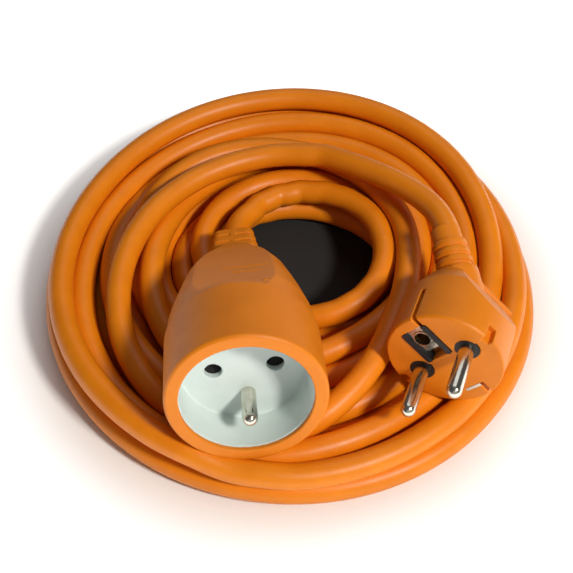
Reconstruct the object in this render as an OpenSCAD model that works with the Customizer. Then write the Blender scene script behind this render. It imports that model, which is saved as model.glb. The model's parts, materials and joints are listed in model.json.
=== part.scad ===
// Extension cord: a loose round coil of sheathed three-core cable that ends in
// a round trailing socket with a projecting earth pin, and in an angled plug
// with two pins, an earth clip and an earth sleeve. Millimetres, +Z up.
// The origin is on the surface that the coil lies on, at the coil's centre.
// The socket is drawn in its own frame: its rim lies at z = 0, its recess opens
// along +Z and its earth pin is on the -Y side. The plug is drawn in its own
// frame too: its face lies at z = 0, its pins point along +Z, and its earth
// sleeve is on the +Y side.

/* [Cable] */
// Outside diameter of the sheathed cable
cable_d = 8.6; // [8.2:0.1:8.7]
// Diameter of one insulated core inside the sheath
core_d = 2.8; // [2.4:0.1:3]

/* [Coil] */
// Outside radius of the coil
coil_r = 87; // [84:1:95]
// Radius of the hole in the middle of the coil
coil_hole_r = 24; // [22:1:30]
// Height of the coil at its middle
coil_h = 21; // [19:0.5:24]
// Slope of the coil's top, which rises away from the socket's mouth
coil_slope = 3; // [1:0.5:5]

/* [Socket] */
// Diameter of the recess that the plug enters
well_d = 39.5; // [39:0.1:40]
// Depth of the recess
well_depth = 15; // [14:0.5:16]
// Outside diameter of the rim
rim_d = 48.6; // [47:0.2:50]
// Length of the moulded housing without its strain relief
housing_l = 70.5; // [69:0.5:74]
// Diameter of the contact holes
contact_hole_d = 5.5; // [5.2:0.1:5.8]
// Length of the earth pin above the floor of the recess
earth_pin_l = 14; // [13:0.5:14.5]
// Travel of the shutter behind the contact holes
shutter_travel = 6; // [5.8:0.1:6.2]

/* [Plug] */
// Diameter of the plug's face
face_d = 37; // [36:0.5:38]
// Length of the round front part
front_l = 18; // [17:1:20]
// Depth from the face to the grip ridge at the back
plug_depth = 33; // [31:1:35]
// Length of the pins beyond the face
pin_l = 19; // [18:0.5:19.5]

/* [Pins] */
// Diameter of the pins
pin_d = 4.8; // [4.7:0.05:4.85]
// Distance between the two line pins
pin_gap = 19; // [18.8:0.1:19.2]
// Distance of the earth contact from the line between the pins
earth_off = 10; // [9.8:0.1:10.2]

/* [Hidden] */
$fn = 64;

// Places of the two ends
socket_at = [-13, -73, 41];
socket_turn = [75, -4, 6];
plug_at = [47, -53, 33];
plug_turn = [81, -50, -13];

// Routes of the cable where it isn't coiled, from the end fittings inwards
socket_route = [
    [-18.0, -15.3, 25.5], [-18.5, -9.5, 24.0], [-19.0, -3.7, 22.4],
    [-19.5, 2.1, 20.9], [-20.0, 7.9, 19.3], [-19.8, 13.1, 18.0],
    [-18.8, 18.2, 17.0], [-16.8, 23.0, 16.2]
];
plug_route = [
    [54.4, -23.0, 35.5], [53.8, -19.2, 36.3], [53.2, -15.2, 37.0],
    [52.8, -10.7, 37.6], [52.5, -6.0, 37.9], [51.9, -1.0, 37.7],
    [50.4, 4.6, 37.2], [47.9, 9.8, 36.5], [44.5, 14.9, 35.6],
    [40.0, 20.4, 34.4], [34.6, 26.0, 33.0], [28.6, 31.4, 31.5],
    [22.3, 36.4, 29.9], [16.0, 41.0, 28.4], [9.4, 45.0, 27.0]
];

// Colours
orange = [0.90, 0.45, 0.08];
dark_orange = [0.78, 0.38, 0.07];
white = [0.88, 0.91, 0.88];
black = [0.06, 0.06, 0.06];
nickel = [0.75, 0.75, 0.70];
brass = [0.80, 0.62, 0.28];
copper = [0.78, 0.42, 0.24];
brown = [0.35, 0.18, 0.08];
blue = [0.10, 0.30, 0.70];
green_yellow = [0.45, 0.70, 0.12];

// Cable
cable_r = cable_d / 2;
cable_bore_r = cable_r + 0.05;
core_r = core_d / 2;
tube_sides = 12;
core_sides = 8;
core_ring_r = 2.1;          // distance of a core's centre from the cable's axis

// Socket, along its own Z axis
rim_r = rim_d / 2;
well_r = well_d / 2;
lip_r = well_r + 0.25;      // inner edge of the rim
lip_l = 1.6;
insert_r = well_r + 1.35;
insert_gap = 0.05;
floor_t = 2.5;
floor_back = -well_depth - floor_t;
pocket_t = 3.3;             // room for the shutter behind the floor
insert_back = floor_back - pocket_t;
carrier_t = 13;
carrier_back_r = 17;        // the carrier's narrow back part
carrier_back = insert_back - carrier_t;
barrel_l = 26;              // length of the round front part
barrel_step = 0.6;
tail_from_half_h = 21.7;     // half height of the flattened tail at the round part
seat_end = -24.5;            // back end of the insert's full-width seat
wire_room_end = -60;
socket_sheath_z = -60;
relief_from = -64;
relief_to = -83;
tail_half_h = 8.4;          // half height of the flattened tail at its end

// Shutter, in the socket's frame
shutter_w = 28;
shutter_half_h = 3.4;
shutter_t = 2.3;
shutter_front = floor_back - 0.4;
pocket_half_w = 14.4;
pocket_low = -3.7;
pocket_high = shutter_half_h + shutter_travel + 5.2;
spring_r = 1.25;
spring_wire_r = 0.25;
spring_turns = 6;
spring_z = shutter_front - shutter_t / 2;

// Contacts
contact_r = 3.4;
contact_bore_r = 2.3;
contact_front = insert_back - 0.6;
contact_back = insert_back - 11;
crimp_r = 2.1;
crimp_bore_r = 1.5;
crimp_pin_r = 1.45;
pin_root_r = pin_d / 2 - 0.6;   // inside the mouldings
earth_flange_r = 3;
crimp_l = 6;

// Plug, along its own Z axis
face_r = face_d / 2;
bridge_t = 10;              // depth of the black bridge
bridge_front = -0.3;
collar_r = 3.9;
plug_room_mid = -19;
plug_room_back = -27;
plug_room_r = 12.2;
guide_w = 3;                // guide grooves on the two sides
guide_depth = 2.2;
guide_l = 5.5;
step_depth = 0.5;           // the half of the face away from the sleeve lies lower
relief_root_r = 5.6;
strip_w = 6.2;
strip_t = 1;
strip_l = 15;
strip_y = 14.4;             // outer faces of the two side strips
frame_from = 1.4;
frame_bar_r = 0.95;
frame_front = 0.3;
fold_y = 5.2;               // where the face plate bends down
fold_angle = 35;
plate_front = -0.5;
sleeve_r = 3.3;
sleeve_bore_r = 2.5;
sleeve_l = 15.5;
plug_exit = [2.3, 5.5, -29.5];
plug_exit_dir = [-0.1, 0.55, -0.83];
plug_relief_l = 20;

// ---------- Helpers ----------

module at_socket() { translate(socket_at) rotate(socket_turn) children(); }

module at_plug() { translate(plug_at) rotate(plug_turn) children(); }

function unit(v) = v / norm(v);

function tangent(p, i) =
    i == 0 ? unit(p[1] - p[0])
    : i == len(p) - 1 ? unit(p[i] - p[i - 1])
    : unit(unit(p[i + 1] - p[i]) + unit(p[i] - p[i - 1]));

// A direction square to the tangent t that changes little from ring to ring
function side_of(t, hint) = unit(hint - (hint * t) * t);

// A closed tube of radius r round the points p
module sweep(p, r, sides, hint = [0, 0, 1]) {
    n = len(p);
    rings = [for (i = [0 : n - 1])
        let (t = tangent(p, i), u = side_of(t, hint), v = cross(t, u))
        for (k = [0 : sides - 1])
            let (a = 360 * k / sides)
            p[i] + r * (cos(a) * u + sin(a) * v)];
    walls = [for (i = [0 : n - 2], k = [0 : sides - 1])
        let (m = (k + 1) % sides)
        [i * sides + k, (i + 1) * sides + k, (i + 1) * sides + m, i * sides + m]];
    first = [for (k = [0 : sides - 1]) k];
    last = [for (k = [sides - 1 : -1 : 0]) (n - 1) * sides + k];
    polyhedron(points = rings, faces = concat([first], walls, [last]), convexity = 6);
}

// Points along a smooth curve through a, with handles b and c, to d
function bezier(a, b, c, d, n) = [for (i = [0 : n])
    let (t = i / n, s = 1 - t)
    s * s * s * a + 3 * s * s * t * b + 3 * s * t * t * c + t * t * t * d];

// A slab with rounded corners, centred, t thick upwards
module rounded_slab(w, h, r, t) {
    translate([-w / 2 + r, -h / 2, 0]) cube([w - 2 * r, h, t]);
    translate([-w / 2, -h / 2 + r, 0]) cube([w, h - 2 * r, t]);
    for (sx = [-1, 1], sy = [-1, 1])
        translate([sx * (w / 2 - r), sy * (h / 2 - r), 0]) cylinder(r = r, h = t);
}

// Turns +Z to the direction d
module along(d) {
    rotate([0, acos(d[2] / norm(d)), atan2(d[1], d[0])]) children();
}

// ---------- Cable ----------

module coil_section() {
    corner = cable_r;
    top = coil_h + 8;
    steps = 6;
    inner = [for (i = [0 : steps])
        let (a = 180 + 90 * i / steps)
        [coil_hole_r + corner + corner * cos(a), corner + corner * sin(a)]];
    outer = [for (i = [0 : steps])
        let (a = 270 + 90 * i / steps)
        [coil_r - corner + corner * cos(a), corner + corner * sin(a)]];
    polygon(concat(inner, outer, [[coil_r, coil_h - 7], [coil_r - 12, top], [coil_hole_r, top]]));
}

module cable_coil() {
    color(orange) difference() {
        rotate_extrude($fn = 96) coil_section();
        translate([0, 0, coil_h]) rotate([coil_slope, 0, 0])
            translate([-150, -150, 0]) cube([300, 300, 60]);
        socket_room();
        plug_room();
        relief_room();
    }
}

// Space that the socket presses into the coil
module socket_room() {
    at_socket() {
        translate([0, 0, -36]) cylinder(r = rim_r + 0.4, h = 38);
        translate([0, 0, -60]) cylinder(r1 = 19.6, r2 = rim_r + 0.4, h = 24.1);
        translate([0, 0, relief_to - 3]) cylinder(r1 = 11, r2 = 19.6, h = -59.9 - relief_to + 3);
    }
}

// Space that the plug presses into the coil
module plug_room() {
    at_plug() {
        translate([0, 0, -front_l - 1]) cylinder(r = face_r + 0.5, h = front_l + 22);
        translate([0, 0, -plug_depth - 3])
            cylinder(r1 = 15, r2 = face_r + 0.5, h = plug_depth - front_l + 2.1);
    }
}

// Space round the socket's strain relief and the cable just behind it
module relief_room() {
    at_socket() translate([0, 0, relief_to - 18]) cylinder(r = cable_r + 0.6, h = 20);
}

module cable_to_socket() {
    color(orange) sweep(socket_route, cable_r, tube_sides);
}

module cable_to_plug() {
    color(orange) sweep(plug_route, cable_r, tube_sides);
}

// ---------- Socket ----------

module housing_outline() {
    intersection() {
        rotate_extrude($fn = 96) polygon([
            [0, 0], [rim_r - 0.7, 0], [rim_r, -0.7], [rim_r, -barrel_l],
            [rim_r - barrel_step, -barrel_l - 0.4], [23.2, -34], [21.4, -42], [19.7, -48.5],
            [17.8, -55], [14.8, -61.5], [11.2, -67], [9, -housing_l], [0, -housing_l]
        ]);
        rotate([90, 0, 90]) translate([0, 0, -30]) linear_extrude(60) polygon([
            [-30, 1], [-30, -barrel_l], [-tail_from_half_h, -barrel_l],
            [-tail_half_h, -housing_l - 1], [tail_half_h, -housing_l - 1],
            [tail_from_half_h, -barrel_l], [30, -barrel_l], [30, 1]
        ]);
    }
}

module socket_housing() {
    color(orange) at_socket() difference() {
        housing_outline();
        translate([0, 0, -lip_l - 1]) cylinder(r = lip_r, h = lip_l + 2);
        translate([0, 0, seat_end]) cylinder(r = insert_r + insert_gap, h = -lip_l - seat_end);
        translate([0, 0, carrier_back]) cylinder(r = carrier_back_r + insert_gap, h = seat_end - carrier_back + 1);
        translate([0, 0, wire_room_end])
            cylinder(r1 = 7, r2 = 15.5, h = carrier_back - wire_room_end + 0.01);
        translate([-30, -3, -32]) cube([15, 6, 7]);
        translate([0, 0, wire_room_end - 10]) cylinder(r = cable_bore_r, h = 11);
        translate([0, 0, -housing_l - 1]) rounded_slab(13.4, 10.6, 3, housing_l + 1 + relief_from);
    }
}

module socket_strain_relief() {
    color(dark_orange) at_socket() difference() {
        union() {
            translate([0, 0, -housing_l]) rounded_slab(13.3, 10.5, 3, housing_l + relief_from);
            translate([0, 0, relief_to]) rounded_slab(12.4, 10, 4, -relief_to - housing_l);
            for (i = [0 : 2])
                translate([0, 0, -housing_l - 4.1 - 4.1 * i]) rounded_slab(16.4 - 0.9 * i, 13.2 - 0.2 * i, 3, 3.1);
            translate([-0.9, -6.5, relief_to + 0.5]) cube([1.8, 13, 11.5]);
        }
        translate([0, 0, relief_to - 1]) cylinder(r = cable_bore_r, h = relief_from - relief_to + 2);
    }
}

module socket_insert() {
    color(white) at_socket() difference() {
        translate([0, 0, insert_back]) cylinder(r = insert_r, h = -lip_l - insert_back, $fn = 96);
        translate([0, 0, -well_depth]) cylinder(r = well_r, h = well_depth, $fn = 96);
        for (s = [-1, 1])
            translate([s * pin_gap / 2, 0, floor_back - 1]) cylinder(d = contact_hole_d, h = floor_t + 2);
        translate([0, -earth_off, insert_back - 1]) cylinder(r = pin_root_r + 0.03, h = 8);
        translate([-pocket_half_w, pocket_low, insert_back - 1])
            cube([2 * pocket_half_w, pocket_high - pocket_low, pocket_t + 1]);
    }
}

// A bar that closes both contact holes. Entering pins push its sloped edges
// up together, and it uncovers both holes at once.
module socket_shutter() {
    color(black) at_socket() difference() {
        union() {
            translate([-shutter_w / 2, -shutter_half_h, shutter_front - shutter_t])
                cube([shutter_w, 2 * shutter_half_h, shutter_t]);
            translate([0, shutter_half_h - 0.1, spring_z])
                rotate([-90, 0, 0]) cylinder(r = 1, h = 1.3);
        }
        for (s = [-1, 1])
            translate([s * pin_gap / 2, -shutter_half_h - 0.01, shutter_front])
                rotate([-32, 0, 0]) translate([-3, -2, 0]) cube([6, 6, 3]);
    }
}

module shutter_spring() {
    low = shutter_half_h + 0.05 + spring_wire_r;
    high = pocket_high - 0.05 - spring_wire_r;
    steps = 12;
    path = [for (i = [0 : spring_turns * steps])
        let (a = 360 * i / steps, u = i / (spring_turns * steps))
        [spring_r * cos(a), low + u * (high - low), spring_z + spring_r * sin(a)]];
    color(nickel) at_socket() sweep(path, spring_wire_r, 6, [0, 1, 0]);
}

module socket_contact_carrier() {
    color(white) at_socket() difference() {
        union() {
            translate([0, 0, seat_end]) cylinder(r = insert_r - 0.1, h = insert_back - seat_end - 0.02, $fn = 96);
            translate([0, 0, carrier_back]) cylinder(r = carrier_back_r - 0.05, h = carrier_t - 1, $fn = 96);
            translate([-23.6, -2.8, -31.6]) cube([8, 5.6, 6]);
        }
        for (s = [-1, 1])
            translate([s * pin_gap / 2, 0, carrier_back - 1]) cylinder(r = contact_r, h = carrier_t + 2);
        translate([0, -earth_off, carrier_back - 1]) cylinder(r = earth_flange_r, h = carrier_t + 2);
    }
}

// A sleeve with two spring leaves, and a solid tail for the crimp
module contact_sleeve() {
    difference() {
        translate([0, 0, contact_back]) cylinder(r = contact_r - 0.02, h = contact_front - contact_back);
        translate([0, 0, contact_back + 2]) cylinder(r = contact_bore_r, h = 20);
        translate([-0.4, -5, contact_back + 4]) cube([0.8, 10, 20]);
    }
    translate([0, 0, carrier_back - 4]) cylinder(r = crimp_pin_r, h = contact_back - carrier_back + 4.1);
}

module socket_line_contact() {
    color(brass) at_socket() translate([-pin_gap / 2, 0, 0]) contact_sleeve();
}

module socket_neutral_contact() {
    color(brass) at_socket() translate([pin_gap / 2, 0, 0]) contact_sleeve();
}

module socket_earth_pin() {
    tip = -well_depth + earth_pin_l;
    color(nickel) at_socket() translate([0, -earth_off, 0]) {
        rotate_extrude($fn = 48) polygon(concat(
            [[0, insert_back], [pin_root_r, insert_back], [pin_root_r, -well_depth],
             [pin_d / 2, -well_depth]],
            round_tip(tip)
        ));
        translate([0, 0, carrier_back]) cylinder(r = earth_flange_r - 0.05, h = carrier_t - 0.02);
        translate([0, 0, insert_back - 1]) cylinder(r = pin_root_r, h = 2);
        translate([0, 0, carrier_back - 4]) cylinder(r = crimp_pin_r, h = 4.1);
    }
}

module crimp_tube() {
    difference() {
        translate([0, 0, -crimp_l]) cylinder(r = crimp_r, h = crimp_l);
        translate([0, 0, -crimp_l - 1]) cylinder(r = crimp_bore_r, h = crimp_l + 2);
    }
}

module socket_crimps() {
    color(copper) at_socket()
        for (p = [[-pin_gap / 2, 0], [pin_gap / 2, 0], [0, -earth_off]])
            translate([p[0], p[1], carrier_back - 0.5]) crimp_tube();
}

// One core from a crimp at (x, y) to its place in the cable's end
module socket_core(x, y, place) {
    start = carrier_back - 4.6;
    finish = socket_sheath_z + 0.05;
    ring = core_ring_r * [cos(place), sin(place)];
    sweep(
        bezier([x, y, start], [x, y, start - 9], [ring[0], ring[1], finish + 9],
            [ring[0], ring[1], finish], 10),
        core_r, core_sides, [1, 0.3, 0]
    );
}

module socket_line_core() {
    color(brown) at_socket() socket_core(-pin_gap / 2, 0, 150);
}

module socket_neutral_core() {
    color(blue) at_socket() socket_core(pin_gap / 2, 0, 30);
}

module socket_earth_core() {
    color(green_yellow) at_socket() socket_core(0, -earth_off, 270);
}

// ---------- Plug ----------

module plug_outline() {
    intersection() {
        union() {
            translate([0, 0, -front_l]) cylinder(r = face_r, h = front_l - 0.8, $fn = 96);
            translate([0, 0, -0.8]) cylinder(r1 = face_r, r2 = face_r - 0.6, h = 0.8, $fn = 96);
            hull() {
                translate([0, 0, -front_l - 1]) cylinder(r = face_r, h = 1.2, $fn = 48);
                translate([-0.5, -1.8, -plug_depth]) rounded_slab(9, 27, 3, 2);
            }
        }
        rotate([90, 0, 0]) translate([0, 0, -30]) linear_extrude(60) polygon([
            [-19, 1], [-19, -12], [-4.5, -33.5], [4.5, -33.5], [19, -12], [19, 1]
        ]);
    }
    for (p = [[3.8, -33.5], [5.2, -32.9], [6.2, -31.6]])
        translate([p[0], 4.8, p[1]]) rotate([90, 0, 0]) cylinder(r = 0.85, h = 19.6, $fn = 24);
    translate(plug_exit) along(plug_exit_dir) translate([0, 0, -7]) cylinder(r = 7, h = 10.5);
}

// Two bars with round ends, joined below the face plate
module earth_frame(grow, t) {
    for (s = [-1, 1])
        hull() {
            translate([s * (strip_w / 2 + frame_bar_r), frame_from + frame_bar_r, frame_front - t])
                cylinder(r = frame_bar_r + grow, h = t, $fn = 24);
            translate([s * (strip_w / 2 + frame_bar_r), strip_y - frame_bar_r, frame_front - t])
                cylinder(r = frame_bar_r + grow, h = t, $fn = 24);
        }
    translate([-strip_w / 2 - 0.5, frame_from + 0.4, frame_front - t])
        cube([strip_w + 1, strip_y - frame_from - 0.4, t]);
}

module plug_body() {
    color(orange) at_plug() difference() {
        plug_outline();
        for (s = [-1, 1])
            translate([s * pin_gap / 2, 0, -bridge_t - 0.5]) cylinder(r = collar_r + 0.02, h = bridge_t + 2);
        translate([0, 0, 2]) earth_frame(0.02, 5.95);
        translate([0, 0, -bridge_t - 0.5]) bridge_block(0.02, bridge_t - 3);
        translate([0, 0, plug_room_mid]) cylinder(r = plug_room_r, h = -plug_room_mid - bridge_t);
        translate([0, 0, plug_room_back]) cylinder(r1 = 7, r2 = plug_room_r, h = plug_room_mid - plug_room_back + 0.01);
        translate([0, earth_off, plug_room_mid]) cylinder(r = sleeve_r, h = -plug_room_mid);
        translate([-strip_w / 2, -strip_y, -strip_l - 0.05]) cube([strip_w, 2 * strip_y, strip_t + 0.1]);
        translate([-20, -20, -step_depth]) cube([40, 20.8, 2]);
        for (s = [0, 1]) {
            mirror([0, s, 0]) translate([-strip_w / 2, strip_y - strip_t - 0.02, -strip_l - 0.5])
                cube([strip_w, strip_t + 0.04, strip_l + 2]);
            mirror([0, s, 0]) translate([2.6, strip_y - strip_t - 0.02, -13.5]) cube([1.6, 6, 15]);
            mirror([s, 0, 0]) translate([face_r - guide_depth, -guide_w / 2, -guide_l])
                cube([guide_depth + 1, guide_w, guide_l + 1]);
        }
        translate(plug_exit) along(plug_exit_dir) {
            translate([0, 0, -6]) cylinder(r = cable_bore_r, h = 30);
            translate([0, 0, -7]) cylinder(r = cable_bore_r + 1.3, h = 7.6);
            translate([0, 0, 2]) cylinder(r = relief_root_r, h = 30);
        }
    }
}

module bridge_block(grow, t) {
    translate([-13 - grow, -4.2 - grow, 0]) cube([26 + 2 * grow, 8.4 + 2 * grow, t]);
}

module plug_pin_bridge() {
    color(black) at_plug() difference() {
        union() {
            for (s = [-1, 1])
                translate([s * pin_gap / 2, 0, -bridge_t]) cylinder(r = collar_r, h = bridge_t + bridge_front);
            translate([0, 0, -bridge_t]) bridge_block(0, bridge_t - 3.6);
            earth_frame(0, 3.9);
        }
        for (s = [-1, 1])
            translate([s * pin_gap / 2, 0, -bridge_t - 1]) cylinder(r = pin_root_r + 0.02, h = bridge_t + 2);
        translate([-strip_w / 2, 0, plate_front - strip_t - 0.05]) cube([strip_w, 30, 3]);
        translate([-strip_w / 2, 0, -4]) cube([strip_w, fold_y + 0.4, 6]);
        translate([-strip_w / 2, strip_y - strip_t - 0.04, -4]) cube([strip_w, 3, 6]);
        translate([0, earth_off, -20]) cylinder(r = sleeve_r, h = 20 + plate_front - strip_t);
    }
}

// A half ball of the pin's radius that ends at the height tip
function round_tip(tip) = [for (i = [0 : 8])
    let (a = 90 * i / 8)
    pin_d / 2 * [cos(a), sin(a)] + [0, tip - pin_d / 2]];

module pin() {
    rotate_extrude($fn = 48) polygon(concat(
        [[0, -bridge_t - 5], [crimp_pin_r, -bridge_t - 5], [crimp_pin_r, -bridge_t],
         [pin_root_r, -bridge_t], [pin_root_r, bridge_front], [pin_d / 2, bridge_front]],
        round_tip(pin_l)
    ));
}

module plug_line_pin() {
    color(nickel) at_plug() translate([-pin_gap / 2, 0, 0]) pin();
}

module plug_neutral_pin() {
    color(nickel) at_plug() translate([pin_gap / 2, 0, 0]) pin();
}

// Face plate with the earth hole. It bends down towards the middle of the
// face, and it runs down both sides of the plug.
module plug_earth_clip() {
    w = strip_w - 0.2;
    color(nickel) at_plug() difference() {
        union() {
            translate([-w / 2, fold_y, plate_front - strip_t]) cube([w, strip_y - fold_y, strip_t]);
            translate([-w / 2, fold_y + 0.3, plate_front]) rotate([fold_angle, 0, 0])
                translate([0, -4.3, -strip_t]) cube([w, 4.3, strip_t]);
            translate([0, earth_off, plate_front - 0.1]) cylinder(r = sleeve_bore_r + 0.45, h = 0.4);
            translate([-w / 2, strip_y - strip_t, -strip_l]) cube([w, strip_t, strip_l + plate_front - 0.1]);
            translate([-w / 2, -strip_y, -strip_l]) cube([w, strip_t, strip_l - step_depth]);
            translate([-w / 2, -strip_y, -strip_l]) cube([w, 2 * strip_y, strip_t]);
        }
        translate([0, earth_off, -5]) cylinder(r = sleeve_bore_r, h = 10);
        translate([0, earth_off, -20]) cylinder(r = sleeve_r, h = 15);
    }
}

module plug_earth_sleeve() {
    color(brass) at_plug() translate([0, earth_off, 0]) difference() {
        translate([0, 0, -sleeve_l - 1.5]) cylinder(r = sleeve_r - 0.02, h = sleeve_l);
        translate([0, 0, -sleeve_l]) cylinder(r = sleeve_bore_r, h = sleeve_l + 5);
    }
}

module plug_strain_relief() {
    color(dark_orange) at_plug() translate(plug_exit) along(plug_exit_dir) difference() {
        union() {
            translate([0, 0, 2]) cylinder(r = relief_root_r - 0.03, h = 2);
            translate([0, 0, 3.9]) cylinder(r1 = 5.4, r2 = 4.9, h = plug_relief_l - 3.9);
            for (i = [0 : 2])
                translate([0, 0, 5.5 + 3.4 * i]) cylinder(r = 6.2 - 0.2 * i, h = 2);
        }
        translate([0, 0, -1]) cylinder(r = cable_bore_r, h = plug_relief_l + 2);
    }
}

module plug_crimps() {
    color(copper) at_plug() {
        for (s = [-1, 1]) translate([s * pin_gap / 2, 0, -bridge_t - 1.2]) crimp_tube();
    }
}

// One core from (x, y, z) to its place in the cable's end. back and in are
// the lengths of its curve's handles.
module plug_core(x, y, z, place, back, in) {
    d = unit(plug_exit_dir);
    u = side_of(d, [1, 0, 0]);
    v = cross(d, u);
    finish = plug_exit + 0.9 * d + core_ring_r * (cos(place) * u + sin(place) * v);
    sweep(
        bezier([x, y, z], [x, y, z - back], finish - in * d, finish, 12),
        core_r, core_sides, [1, 0.3, 0]
    );
}

module plug_line_core() {
    color(brown) at_plug() plug_core(-pin_gap / 2, 0, -bridge_t - 6, 150, 5, 4.5);
}

module plug_neutral_core() {
    color(blue) at_plug() plug_core(pin_gap / 2, 0, -bridge_t - 6, 30, 5, 4.5);
}

module plug_earth_core() {
    color(green_yellow) at_plug() plug_core(0, earth_off - 1, -sleeve_l - 2.2, 270, 2, 5);
}

cable_coil();
cable_to_socket();
cable_to_plug();
socket_housing();
socket_strain_relief();
socket_insert();
socket_shutter();
shutter_spring();
socket_contact_carrier();
socket_line_contact();
socket_neutral_contact();
socket_earth_pin();
socket_line_core();
socket_neutral_core();
socket_earth_core();
socket_crimps();
plug_body();
plug_strain_relief();
plug_pin_bridge();
plug_line_pin();
plug_neutral_pin();
plug_earth_clip();
plug_earth_sleeve();
plug_line_core();
plug_neutral_core();
plug_earth_core();
plug_crimps();
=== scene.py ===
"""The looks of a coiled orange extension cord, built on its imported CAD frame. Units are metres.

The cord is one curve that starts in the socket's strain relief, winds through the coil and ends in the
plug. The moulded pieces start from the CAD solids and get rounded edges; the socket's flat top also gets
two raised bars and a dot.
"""
import json
import math

import bmesh
import bpy
import numpy as np
from mathutils import Euler, Matrix, Vector


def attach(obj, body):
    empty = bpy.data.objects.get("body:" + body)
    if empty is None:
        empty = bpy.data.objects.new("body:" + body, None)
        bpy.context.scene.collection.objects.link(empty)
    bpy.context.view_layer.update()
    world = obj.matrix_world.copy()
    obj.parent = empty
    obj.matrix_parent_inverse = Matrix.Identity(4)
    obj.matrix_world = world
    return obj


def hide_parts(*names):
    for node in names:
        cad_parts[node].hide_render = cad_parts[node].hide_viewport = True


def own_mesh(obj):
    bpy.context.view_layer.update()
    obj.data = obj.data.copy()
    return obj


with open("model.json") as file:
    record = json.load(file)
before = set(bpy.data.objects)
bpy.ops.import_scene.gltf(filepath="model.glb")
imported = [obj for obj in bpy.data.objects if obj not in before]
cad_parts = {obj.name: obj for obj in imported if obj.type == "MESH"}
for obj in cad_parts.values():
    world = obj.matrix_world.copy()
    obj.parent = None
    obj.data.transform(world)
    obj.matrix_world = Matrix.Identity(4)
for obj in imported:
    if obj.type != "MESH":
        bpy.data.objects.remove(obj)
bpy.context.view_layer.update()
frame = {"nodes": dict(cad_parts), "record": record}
scene = bpy.context.scene

# ---------- Main dimensions and places ----------

MM = 0.001
CABLE_D = 0.0086
SOCKET_AT = Vector((-0.013, -0.073, 0.041))
SOCKET_TURN = (75, -4, 6)
PLUG_AT = Vector((0.047, -0.053, 0.033))
PLUG_TURN = (81, -50, -13)


def place(at, degrees):
    """The matrix of a moulding's own frame: its +Z looks out of the mouth or along the pins."""
    turn = Euler([math.radians(a) for a in degrees], "XYZ")
    return Matrix.Translation(at) @ turn.to_matrix().to_4x4()


SOCKET = place(SOCKET_AT, SOCKET_TURN)
PLUG = place(PLUG_AT, PLUG_TURN)


def on(pose, x, y, z):
    """A point of a moulding's frame, given in millimetres, in the row frame."""
    return pose @ Vector((x * MM, y * MM, z * MM))


# ---------- Camera ----------

def make_camera():
    """The main view, from above and in front."""
    data = bpy.data.cameras.new("camera")
    data.sensor_width = 36
    data.lens = 65.7
    camera = bpy.data.objects.new("camera", data)
    camera.location = (-0.0015, -0.2385, 0.2976)
    camera.rotation_euler = (math.radians(90 - 50.93), 0, 0)
    scene.collection.objects.link(camera)
    scene.camera = camera


make_camera()

# ---------- The cord's route ----------

# The two ends, given point by point: out of the socket, and into the plug
SOCKET_END = [
    (-0.0180, -0.0153, 0.0255), (-0.0185, -0.0095, 0.0240), (-0.0190, -0.0037, 0.0224),
    (-0.0195, 0.0021, 0.0209), (-0.0200, 0.0079, 0.0193), (-0.0198, 0.0131, 0.0180),
    (-0.0188, 0.0182, 0.0170), (-0.0168, 0.0230, 0.0162),
]
PLUG_END = [
    (0.0094, 0.0450, 0.0270), (0.0160, 0.0410, 0.0284), (0.0223, 0.0364, 0.0299),
    (0.0286, 0.0314, 0.0315), (0.0346, 0.0260, 0.0330), (0.0400, 0.0204, 0.0344),
    (0.0445, 0.0149, 0.0356), (0.0479, 0.0098, 0.0365), (0.0504, 0.0046, 0.0372),
    (0.0519, -0.0010, 0.0377), (0.0525, -0.0060, 0.0379), (0.0528, -0.0107, 0.0376),
    (0.0532, -0.0152, 0.0370), (0.0538, -0.0192, 0.0363), (0.0544, -0.0230, 0.0355),
]
CABLE_R = CABLE_D / 2
FLAT = CABLE_R              # a turn that lies on the floor
OUTER_TURN = 0.0826         # the widest that a turn may lie
FLOOR_TURNS = 6             # turns that wind out along the floor
FIRST_FLOOR_TURN = 0.0320   # radius of the first of them
FLOOR_STEP = 0.0088         # from one of them to the next

POINT_STEP = 0.005          # between the points of the line
SETTLE_ROUNDS = 400
SEARCH_EVERY = 8            # rounds between two searches for turns that lie close together
SINK = 0.00005              # how far a point sinks in the first round
PUSH = 1.3                  # over 1, so that turns part in fewer rounds
STIFFNESS = 0.05


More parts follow.
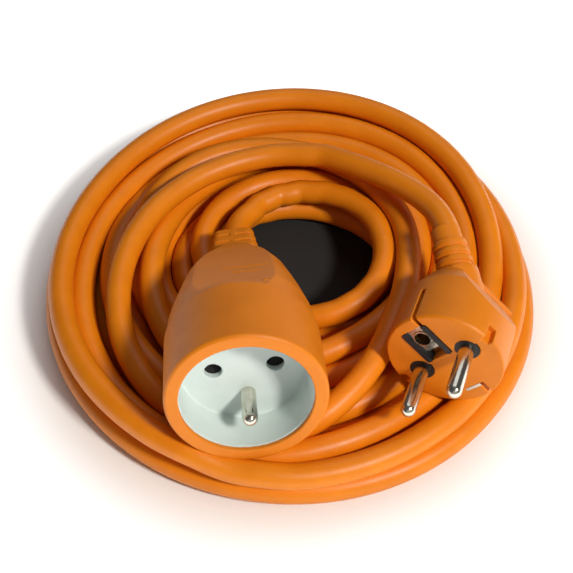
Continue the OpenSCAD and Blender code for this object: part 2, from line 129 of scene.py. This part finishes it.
def coil_plan():
    """The coil before it settles: (turns from the socket, radius, centre x, centre y, height at the
    front, height at the back). It starts on the inside, winds out along the floor, comes back over
    itself and ends with a high turn to the plug."""
    plan = [
        (0.00, 0.0265, 0.005, 0.008, 0.0160, 0.0160),
        (0.25, 0.0330, 0.002, 0.006, 0.0150, 0.0160),
        (0.75, 0.0380, 0.001, 0.005, 0.0110, 0.0130),
        (1.30, 0.0335, 0.004, 0.004, 0.0060, 0.0060),
    ]
    for k in range(FLOOR_TURNS):
        shift = max(0.003 - 0.001 * k, 0)
        plan.append((1.7 + k, FIRST_FLOOR_TURN + FLOOR_STEP * k, shift, 0, FLAT, FLAT))
    plan += [
        (7.45, OUTER_TURN, 0.000, 0.0000, FLAT, FLAT),
        (8.00, 0.0824, 0.000, 0.0000, 0.0060, 0.0145),
        (8.45, 0.0812, 0.000, 0.0010, 0.0125, 0.0140),
        (9.15, 0.0800, 0.000, 0.0035, 0.0130, 0.0280),
        (9.45, 0.0785, 0.000, 0.0050, 0.0130, 0.0270),
        (10.15, 0.0715, 0.000, 0.0065, 0.0130, 0.0240),
        (11.15, 0.0615, -0.001, 0.0060, 0.0125, 0.0195),
        (12.25, 0.0500, -0.002, 0.0060, 0.0125, 0.0145),
        (12.75, 0.0530, -0.004, 0.0030, 0.0140, 0.0170),
        (13.25, 0.0550, -0.008, -0.0030, 0.0180, 0.0220),
        (13.75, 0.0535, -0.009, -0.0045, 0.0220, 0.0270),
    ]
    return np.array(plan)


def even_points(line, step):
    """The same line with its points about a step apart."""
    gone = np.r_[0, np.cumsum(np.linalg.norm(np.diff(line, axis=0), axis=1))]
    where = np.linspace(0, gone[-1], int(round(gone[-1] / step)) + 1)
    return np.stack([np.interp(where, gone, line[:, i]) for i in range(3)], axis=1)


def length_of(line):
    """The length of a line through its points."""
    return np.linalg.norm(np.diff(line, axis=0), axis=1).sum()


def wound_line():
    """The whole cord as it is wound, clockwise from above, before it settles."""
    plan = coil_plan()
    first = math.atan2(SOCKET_END[-1][1] - plan[0, 3], SOCKET_END[-1][0] - plan[0, 2])
    last = math.atan2(PLUG_END[0][1] - plan[-1, 3], PLUG_END[0][0] - plan[-1, 2])
    whole = round(plan[-1, 0] - (first - last) / math.tau)
    turns = np.linspace(0.03, whole + (first - last) / math.tau - 0.015, 4000)
    radius, x, y, front, back = (np.interp(turns, plan[:, 0], plan[:, i]) for i in range(1, 6))
    angle = first - math.tau * turns
    height = front + (back - front) * (1 + np.sin(angle)) / 2
    coil = np.stack([x + radius * np.cos(angle), y + radius * np.sin(angle), height], axis=1)
    return np.vstack([SOCKET_END, coil, PLUG_END])


def closest(points, starts, ends):
    """How far along each segment its point lies, and the way from there to the point."""
    along = ends - starts
    t = np.clip(((points - starts) * along).sum(1) / (along ** 2).sum(1), 0, 1)
    return t, points - (starts + t[:, None] * along)


def neighbours(line, spacing, gap):
    """Pairs (point, segment) of far parts of the cord that lie close together."""
    reach = CABLE_D + spacing + 0.004
    square = ((line[:, None] - line[None]) ** 2).sum(2)
    a, b = np.nonzero(np.triu(square < reach ** 2, gap))
    point = np.r_[a, a, b, b]
    segment = np.r_[b - 1, b, a - 1, a]
    good = (segment >= 0) & (segment < len(line) - 1) & (abs(point - segment) >= gap - 1)
    return point[good], segment[good]


def push_apart(line, free, point, segment):
    """Turns that lie in each other move half of the overlap each."""
    t, way = closest(line[point], line[segment], line[segment + 1])
    far = np.linalg.norm(way, axis=1)
    hit = far < CABLE_D
    if not hit.any():
        return
    push = way[hit] / np.maximum(far[hit], 1e-9)[:, None] * ((CABLE_D - far[hit]) / 2)[:, None]
    move = np.zeros_like(line)
    weight = np.zeros(len(line))
    for index, share in (
        (point[hit], np.ones(hit.sum())), (segment[hit], t[hit] - 1), (segment[hit] + 1, -t[hit])
    ):
        np.add.at(move, index, push * share[:, None])
        np.add.at(weight, index, abs(share))
    line[free] += (PUSH * move / np.maximum(weight, 1)[:, None])[free]


def stiffen(line, free):
    """Eases sharp bends, over three spans. It doesn't remove them all: the tightest stay near 15 mm."""
    for span in (1, 2, 4):
        bend = np.zeros_like(line)
        bend[2 * span:-2 * span] = (
            line[:-4 * span] - 4 * line[span:-3 * span] + 6 * line[2 * span:-2 * span]
            - 4 * line[3 * span:-span] + line[4 * span:]
        )
        line[free] -= STIFFNESS * bend[free]


def keep_lengths(line, spacing):
    """Brings neighbouring points back to their spacing, even and odd pairs in turn."""
    for start in (0, 1, 0, 1, 0, 1):
        a = np.arange(start, len(line) - 1, 2)
        way = line[a + 1] - line[a]
        far = np.linalg.norm(way, axis=1)
        half = way * ((far - spacing) / far / 2)[:, None]
        line[a] += half
        line[a + 1] -= half


def keep_out(line, start, end, start_r, end_r):
    """Pushes the cord out of a cone between two points."""
    count = len(line)
    a = np.array(start)
    b = np.array(end)
    t, way = closest(line, np.tile(a, (count, 1)), np.tile(b, (count, 1)))
    far = np.linalg.norm(way, axis=1)
    need = start_r + (end_r - start_r) * t + CABLE_R
    inside = far < need
    line[inside] += way[inside] / far[inside][:, None] * (need - far)[inside][:, None]


# What the cord can't lie in: (frame, from z, to z, radius, radius), in millimetres
MOULDINGS = [
    (SOCKET, 0, -28, 24.3, 24.0), (SOCKET, -28, -58, 22.0, 13.0), (SOCKET, -58, -71, 13.0, 7.0),
    (SOCKET, -72, -83, 6.5, 6.0), (PLUG, 0, -18, 18.6, 18.6), (PLUG, -18, -33, 17.0, 9.0),
]


def settled(line, rounds):
    """Lets the coil sink and its turns push each other aside, with both ends held."""
    spacing = length_of(line) / (len(line) - 1)
    gone = np.arange(len(line)) * spacing
    held = (gone <= length_of(np.array(SOCKET_END))) | (
        gone >= gone[-1] - length_of(np.array(PLUG_END))
    )
    free = ~held
    kept = line[held].copy()
    inner, outer = np.flatnonzero(free)[[4, -5]]
    gap = math.ceil(3.2 * CABLE_D / spacing)
    for k in range(rounds):
        if k % SEARCH_EVERY == 0:
            point, segment = neighbours(line, spacing, gap)
        line[free, 2] -= SINK * (1 - k / rounds)
        stiffen(line, free)
        push_apart(line, free, point, segment)
        push_apart(line, free, point, segment)
        keep_lengths(line, spacing)
        away = slice(inner, outer)
        for pose, z0, z1, r0, r1 in MOULDINGS:
            keep_out(line[away], on(pose, 0, 0, z0), on(pose, 0, 0, z1), r0 * MM, r1 * MM)
        out = np.hypot(line[:, 0], line[:, 1])
        line[:, :2] *= np.minimum(1, OUTER_TURN / np.maximum(out, 1e-9))[:, None]
        line[:, 2] = np.maximum(line[:, 2], FLAT)
        line[held] = kept
    return line


def cord_line():
    line = even_points(wound_line(), POINT_STEP)
    return settled(line, SETTLE_ROUNDS)


# ---------- Materials ----------

def add_node(tree, kind, **settings):
    """A shader node. A setting is the node's own, or else its input, with _ for a space."""
    node = tree.nodes.new(kind)
    for name, value in settings.items():
        if hasattr(node, name):
            setattr(node, name, value)
        else:
            node.inputs[name.replace("_", " ")].default_value = value
    return node


def plastic(name, colour, dark, roughness, grain, grain_depth, sub=0.0):
    """Moulded plastic: slow changes of tone, uneven gloss and a fine grain, in metres."""
    material = bpy.data.materials.new(name)
    material.use_nodes = True
    tree = material.node_tree
    shader = tree.nodes["Principled BSDF"]
    shader.inputs["Specular IOR Level"].default_value = 0.35
    shader.inputs["Subsurface Weight"].default_value = sub
    shader.inputs["Subsurface Radius"].default_value = (0.004, 0.0012, 0.0004)
    coords = add_node(tree, "ShaderNodeTexCoord")
    slow = add_node(tree, "ShaderNodeTexNoise", Scale=90.0, Detail=3.0, Roughness=0.6)
    tone = tree.nodes.new("ShaderNodeValToRGB")
    tone.color_ramp.elements[0].position = 0.3
    tone.color_ramp.elements[0].color = (*dark, 1)
    tone.color_ramp.elements[1].position = 0.65
    tone.color_ramp.elements[1].color = (*colour, 1)
    gloss = add_node(tree, "ShaderNodeTexNoise", Scale=400.0, Detail=2.0)
    gloss_range = add_node(tree, "ShaderNodeMapRange", To_Min=roughness - 0.07, To_Max=roughness + 0.07)
    fine = add_node(tree, "ShaderNodeTexNoise", Scale=1.0 / grain, Detail=2.0)
    bump = add_node(tree, "ShaderNodeBump", Strength=0.5, Distance=grain_depth)
    link = tree.links.new
    for texture in (slow, gloss, fine):
        link(coords.outputs["Object"], texture.inputs["Vector"])
    link(slow.outputs["Fac"], tone.inputs["Fac"])
    link(tone.outputs["Color"], shader.inputs["Base Color"])
    link(gloss.outputs["Fac"], gloss_range.inputs["Value"])
    link(gloss_range.outputs["Result"], shader.inputs["Roughness"])
    link(fine.outputs["Fac"], bump.inputs["Height"])
    link(bump.outputs["Normal"], shader.inputs["Normal"])
    return material


def metal(name, colour, dark, roughness, scratch):
    """Drawn or plated metal: faint clouds of tone and fine lines along the frame's depth."""
    material = bpy.data.materials.new(name)
    material.use_nodes = True
    tree = material.node_tree
    shader = tree.nodes["Principled BSDF"]
    shader.inputs["Metallic"].default_value = 1.0
    coords = add_node(tree, "ShaderNodeTexCoord")
    stretch = add_node(tree, "ShaderNodeMapping")
    stretch.inputs["Scale"].default_value = (900, 60, 900)
    slow = add_node(tree, "ShaderNodeTexNoise", Scale=250.0, Detail=3.0)
    tone = tree.nodes.new("ShaderNodeValToRGB")
    tone.color_ramp.elements[0].position = 0.35
    tone.color_ramp.elements[0].color = (*dark, 1)
    tone.color_ramp.elements[1].position = 0.6
    tone.color_ramp.elements[1].color = (*colour, 1)
    lines = add_node(tree, "ShaderNodeTexNoise", Scale=1.0, Detail=4.0)
    gloss_range = add_node(tree, "ShaderNodeMapRange", To_Min=roughness - 0.06, To_Max=roughness + 0.1)
    bump = add_node(tree, "ShaderNodeBump", Strength=0.35, Distance=scratch)
    link = tree.links.new
    link(coords.outputs["Object"], slow.inputs["Vector"])
    link(coords.outputs["Object"], stretch.inputs["Vector"])
    link(stretch.outputs["Vector"], lines.inputs["Vector"])
    link(slow.outputs["Fac"], tone.inputs["Fac"])
    link(tone.outputs["Color"], shader.inputs["Base Color"])
    link(lines.outputs["Fac"], gloss_range.inputs["Value"])
    link(gloss_range.outputs["Result"], shader.inputs["Roughness"])
    link(lines.outputs["Fac"], bump.inputs["Height"])
    link(bump.outputs["Normal"], shader.inputs["Normal"])
    return material


FINISH = {
    "cable_pvc": plastic(
        "cable_pvc", (0.82, 0.235, 0.004), (0.75, 0.205, 0.003), 0.42, 0.0009, 0.00004, sub=0.02
    ),
    "moulded_orange": plastic(
        "moulded_orange", (0.76, 0.215, 0.004), (0.70, 0.190, 0.003), 0.50, 0.0006, 0.00003, sub=0.02
    ),
    "white_plastic": plastic(
        "white_plastic", (0.66, 0.74, 0.72), (0.61, 0.69, 0.67), 0.42, 0.0007, 0.00002
    ),
    "black_plastic": plastic(
        "black_plastic", (0.016, 0.016, 0.017), (0.010, 0.010, 0.011), 0.45, 0.0007, 0.00003
    ),
    "core_brown": plastic("core_brown", (0.13, 0.05, 0.02), (0.10, 0.035, 0.015), 0.4, 0.0008, 0.00003),
    "core_blue": plastic("core_blue", (0.03, 0.15, 0.52), (0.02, 0.11, 0.42), 0.4, 0.0008, 0.00003),
    "core_earth": plastic("core_earth", (0.30, 0.52, 0.03), (0.62, 0.60, 0.03), 0.4, 0.0008, 0.00003),
    "nickel": metal("nickel", (0.70, 0.68, 0.60), (0.58, 0.56, 0.48), 0.20, 0.00001),
    "brass": metal("brass", (0.80, 0.58, 0.25), (0.68, 0.46, 0.18), 0.28, 0.00001),
    "copper": metal("copper", (0.80, 0.40, 0.26), (0.66, 0.30, 0.18), 0.30, 0.00001),
    "spring_steel": metal("spring_steel", (0.56, 0.57, 0.58), (0.42, 0.43, 0.44), 0.25, 0.00001),
}


def finish_cad_nodes():
    """Every CAD node that stays gets the finish of its slot in the record."""
    for part in frame["record"]["subparts"]:
        node = frame["nodes"][part["node"]]
        node.data.materials.clear()
        node.data.materials.append(FINISH[part["material_slot"]])


finish_cad_nodes()

# ---------- The cord ----------

def make_cord():
    """The cable, as one round curve through the settled line."""
    line = cord_line()
    data = bpy.data.curves.new("cable", "CURVE")
    data.dimensions = "3D"
    data.bevel_depth = CABLE_R
    data.bevel_resolution = 5
    data.resolution_u = 2
    data.use_fill_caps = True
    spline = data.splines.new("NURBS")
    spline.points.add(len(line) - 1)
    spline.points.foreach_set("co", np.c_[line, np.ones(len(line))].ravel())
    spline.order_u = 4
    spline.use_endpoint_u = True
    cable = bpy.data.objects.new("cable", data)
    scene.collection.objects.link(cable)
    data.materials.append(FINISH["cable_pvc"])
    return cable


cable = make_cord()
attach(cable, "cord")
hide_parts("cable_coil", "cable_to_socket", "cable_to_plug")

# ---------- Moulded pieces ----------

def box(bm, pose, centre, size, round_by=0.0):
    """A box in a moulding's frame, in millimetres, with rounded edges."""
    scale = Matrix.Diagonal((size[0] * MM, size[1] * MM, size[2] * MM, 1))
    at = Matrix.Translation(Vector(centre) * MM)
    made = bmesh.ops.create_cube(bm, size=1, matrix=pose @ at @ scale)
    if round_by:
        edges = {e for v in made["verts"] for e in v.link_edges}
        bmesh.ops.bevel(
            bm, geom=list(edges), offset=round_by * MM, segments=3, affect="EDGES", profile=0.5
        )


def evaluated(obj):
    """The object's mesh with its modifiers applied."""
    mesh = bpy.data.meshes.new_from_object(obj.evaluated_get(bpy.context.evaluated_depsgraph_get()))
    obj.modifiers.clear()
    return mesh


def moulded(name, node, slot, extras=None, voxel=0.0003, rounds=4, keep=0.35):
    """A copy of a CAD solid with what extras adds, made into one skin with soft edges."""
    bm = bmesh.new()
    bm.from_mesh(frame["nodes"][node].data)
    bmesh.ops.remove_doubles(bm, verts=bm.verts, dist=1e-6)
    if extras:
        extras(bm)
    mesh = bpy.data.meshes.new(name)
    bm.to_mesh(mesh)
    bm.free()
    obj = bpy.data.objects.new(name, mesh)
    scene.collection.objects.link(obj)
    remesh = obj.modifiers.new("skin", "REMESH")
    remesh.mode = "VOXEL"
    remesh.voxel_size = voxel * 1
    smooth = obj.modifiers.new("soften", "SMOOTH")
    smooth.factor = 0.5
    smooth.iterations = rounds
    thin = obj.modifiers.new("thin", "DECIMATE")
    thin.ratio = keep
    obj.data = evaluated(obj)
    obj.data.materials.clear()
    obj.data.materials.append(FINISH[slot])
    obj.data.shade_smooth()
    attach(obj, "cord")
    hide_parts(node)
    return obj


# The socket's flat top, in millimetres: where it starts behind the barrel, and its fall to the tail
TOP_HEIGHT = 21.7
TOP_START = -26
TOP_END_HEIGHT = 8.4
TOP_LENGTH = 45.5


def socket_extras(bm):
    """Two plain raised bars and a plain dot on the flat top, where the real socket has marks."""
    tilt = math.atan((TOP_HEIGHT - TOP_END_HEIGHT) / TOP_LENGTH)
    start = Matrix.Translation(Vector((0, TOP_HEIGHT * MM, TOP_START * MM)))
    top = SOCKET @ start @ Matrix.Rotation(-tilt, 4, "X")
    for back, width in ((15, 9), (19.5, 15)):
        box(bm, top, (3.5, 0, -back), (width, 0.7, 0.6), 0.2)
    box(bm, top, (9.5, -0.1, -4.5), (1.5, 1.0, 1.5), 0.4)


def make_spring():
    """The shutter's spring, a copy of the CAD spring with its own mesh and the spring steel finish."""
    spring = bpy.data.objects.new("return_spring", frame["nodes"]["shutter_spring"].data.copy())
    scene.collection.objects.link(spring)
    spring.data.materials.clear()
    spring.data.materials.append(FINISH["spring_steel"])
    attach(spring, "cord")
    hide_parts("shutter_spring")
    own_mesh(spring)


moulded("socket_shell", "socket_housing", "moulded_orange", socket_extras, rounds=2)
moulded("socket_recess", "socket_insert", "white_plastic", voxel=0.00025, rounds=3)
moulded("socket_relief", "socket_strain_relief", "moulded_orange", voxel=0.0002, rounds=1)
plug_shell = moulded("plug_shell", "plug_body", "moulded_orange", voxel=0.00022, rounds=3)
plug_relief = moulded("plug_relief", "plug_strain_relief", "moulded_orange", voxel=0.0002, rounds=3)

make_spring()

# ---------- Light and floor ----------

def area_light(name, at, size, watts, colour=(1, 1, 1)):
    """A square light that looks at the middle of the coil."""
    data = bpy.data.lights.new(name, "AREA")
    data.size = size
    data.energy = watts
    data.color = colour
    light = bpy.data.objects.new(name, data)
    light.location = at
    light.rotation_euler = (Vector((0, 0, 0.02)) - Vector(at)).to_track_quat("-Z", "Y").to_euler()
    scene.collection.objects.link(light)


def painted_shade_backdrop():
    """The floor, with painted shade and a painted shadow. It glows white from 85 mm outwards and not at
    all nearer the coil, which paints a soft shadow around the coil. Its colour is nearly black under the
    coil, which is painted shade so that the hole in the middle of the coil looks dark."""
    material = bpy.data.materials.new("painted_shade_backdrop")
    material.use_nodes = True
    tree = material.node_tree
    shader = tree.nodes["Principled BSDF"]
    shader.inputs["Roughness"].default_value = 0.9
    shader.inputs["Emission Color"].default_value = (1, 1, 1, 1)
    coords = add_node(tree, "ShaderNodeTexCoord")
    away = add_node(tree, "ShaderNodeVectorMath", operation="LENGTH")
    # painted shadow: no glow within 85 mm of the middle, rising to full glow at 125 mm, a soft halo of
    # shade around the coil
    glow = add_node(tree, "ShaderNodeMapRange", From_Min=0.085, From_Max=0.125, To_Min=0.0, To_Max=0.9)
    # painted shade: the floor's colour falls from 0.9 to nearly black under the coil, so the hole in the
    # coil looks dark
    tone = add_node(tree, "ShaderNodeMapRange", From_Min=0.060, From_Max=0.085, To_Min=0.015, To_Max=0.9)
    tree.links.new(coords.outputs["Object"], away.inputs[0])
    tree.links.new(away.outputs["Value"], glow.inputs["Value"])
    tree.links.new(away.outputs["Value"], tone.inputs["Value"])
    tree.links.new(glow.outputs["Result"], shader.inputs["Emission Strength"])
    tree.links.new(tone.outputs["Result"], shader.inputs["Base Color"])
    return material


def make_floor():
    """The ground that the coil lies on. It is part of the stage and not of the object."""
    bpy.ops.mesh.primitive_plane_add(size=6)
    floor = bpy.context.object
    floor.name = "floor"
    # the floor's material carries painted shade under the coil and a painted shadow around it
    floor.data.materials.append(painted_shade_backdrop())


def make_world():
    """A faint, even, white surrounding."""
    world = bpy.data.worlds.new("studio")
    world.use_nodes = True
    background = world.node_tree.nodes["Background"]
    background.inputs["Color"].default_value = (1, 1, 1, 1)
    background.inputs["Strength"].default_value = 0.07
    scene.world = world


make_floor()
area_light("key", (0.52, -0.54, 0.80), 0.14, 9.6, (1.0, 0.96, 0.88))
area_light("top_back", (0.15, 0.6, 0.9), 0.7, 1.6)
area_light("front_fill", (0.0, -0.9, 0.4), 0.6, 0.4)
make_world()
scene.view_settings.view_transform = "Standard"
